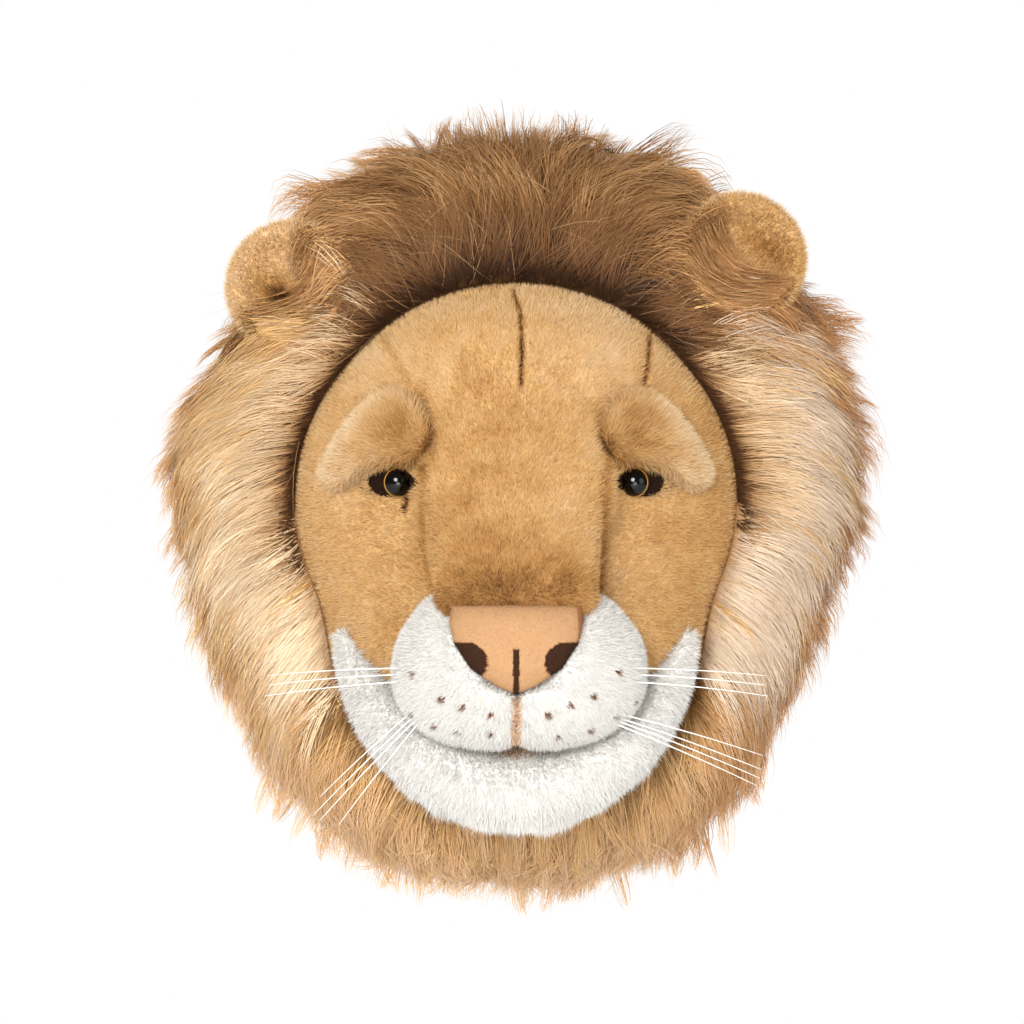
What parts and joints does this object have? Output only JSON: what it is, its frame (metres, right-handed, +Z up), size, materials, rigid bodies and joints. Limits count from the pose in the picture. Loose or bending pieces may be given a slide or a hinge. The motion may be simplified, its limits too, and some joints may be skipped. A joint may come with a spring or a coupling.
{
  "type": "plush lion head wall trophy",
  "caption": "Stuffed plush lion head that hangs on a wall, with a long-pile mane, tan short-pile face, white muzzle and chin, felt nose and nylon whiskers.",
  "frame": {"origin": "centre of the flat back, on the wall plane", "axes": "+Y into the wall (the back face's outward normal), so the face looks along -Y; +Z up; +X to the viewer's right"},
  "size_m": [0.3324, 0.2397, 0.3712],
  "materials": {
    "tan_plush": "short-pile plush",
    "mane_fur": "long-pile faux fur, dark roots and light tips",
    "white_plush": "white plush",
    "nose_felt": "brushed suede felt",
    "dark_felt": "dark brown felt",
    "eye_plastic": "polished",
    "nylon": "clear white monofilament",
    "panel_cloth": "plain woven backing cloth"
  },
  "bodies": {
    "root": {"back_panel": "panel_cloth", "head": "tan_plush", "mane": "mane_fur", "ear_left": "tan_plush", "ear_right": "tan_plush", "brow_left": "tan_plush", "brow_right": "tan_plush", "eye_lining_left": "dark_felt", "eye_lining_right": "dark_felt", "eye_left": "eye_plastic", "eye_right": "eye_plastic", "muzzle_left": "white_plush", "muzzle_right": "white_plush", "nose": "nose_felt", "chin": "white_plush", "whisker_upper_left_1": "nylon", "whisker_upper_left_2": "nylon", "whisker_upper_left_3": "nylon", "whisker_lower_left_1": "nylon", "whisker_lower_left_2": "nylon", "whisker_lower_left_3": "nylon", "whisker_lower_left_4": "nylon", "whisker_upper_right_1": "nylon", "whisker_upper_right_2": "nylon", "whisker_upper_right_3": "nylon", "whisker_lower_right_1": "nylon", "whisker_lower_right_2": "nylon", "whisker_lower_right_3": "nylon", "whisker_lower_right_4": "nylon"}
  },
  "joints": []
}
